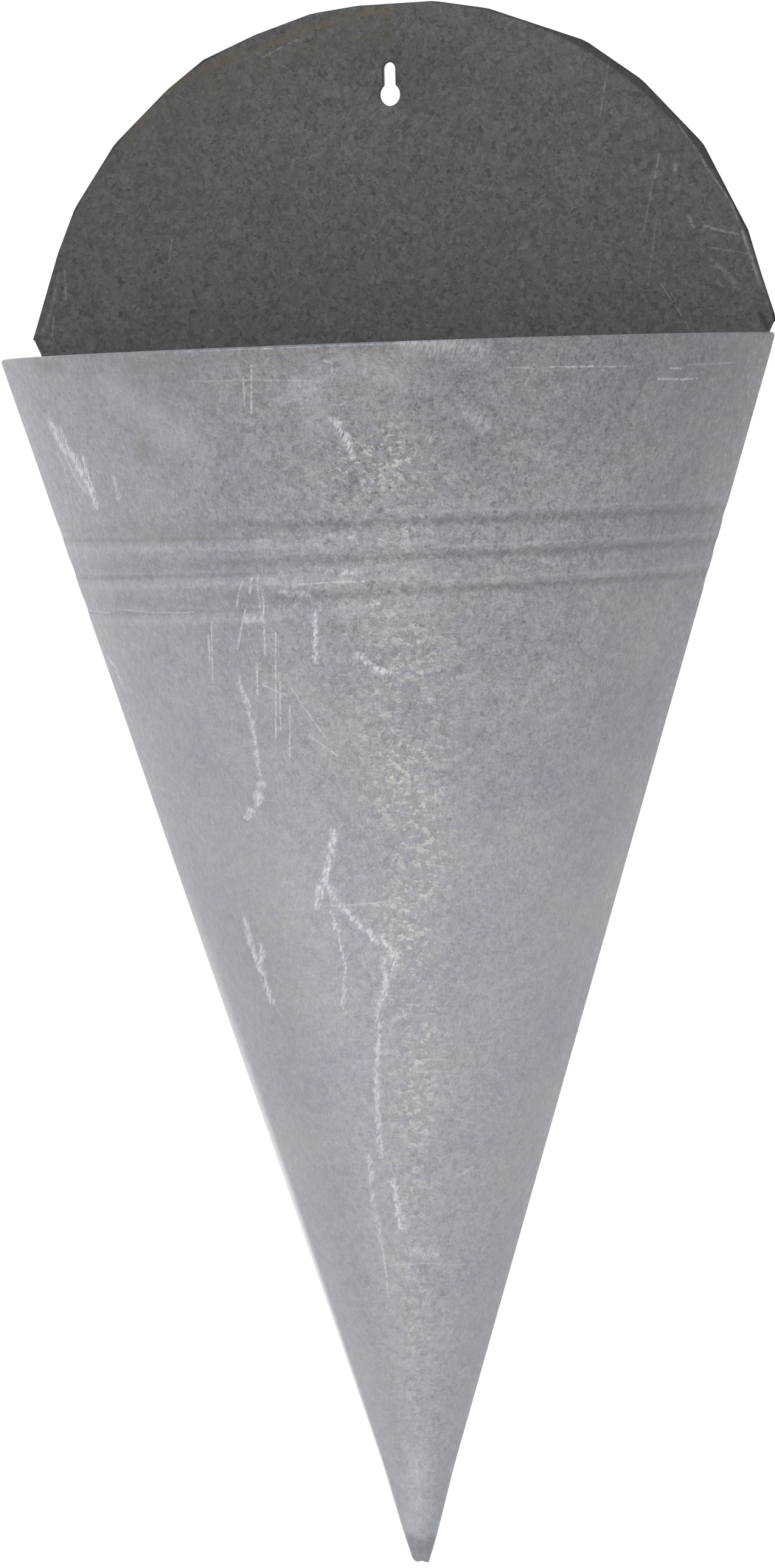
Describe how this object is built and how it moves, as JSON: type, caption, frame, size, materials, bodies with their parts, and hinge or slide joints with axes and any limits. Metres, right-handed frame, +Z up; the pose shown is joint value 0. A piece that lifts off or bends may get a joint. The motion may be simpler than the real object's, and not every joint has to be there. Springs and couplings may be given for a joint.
{
  "type": "wall planter",
  "caption": "Wall-hung half-cone planter of galvanised sheet steel, open at the top, with a flat round-headed back panel and a keyhole to hang it by.",
  "frame": {"origin": "on the axis of the keyhole's round hole, in the plane of the wall that the back rests on", "axes": "+X to the right of someone who faces the planter, +Y back towards the wall, +Z up"},
  "size_m": [0.303, 0.1508, 0.5973],
  "materials": {
    "weathered_zinc": "matt, dark weathered galvanised sheet",
    "spangled_zinc": "satin galvanised sheet with a zinc spangle",
    "solder": "dull soft solder"
  },
  "bodies": {
    "root": {"back_panel": "weathered_zinc", "front_cone": "spangled_zinc", "left_seam_solder": "solder", "right_seam_solder": "solder", "tip_solder": "solder"}
  },
  "joints": []
}
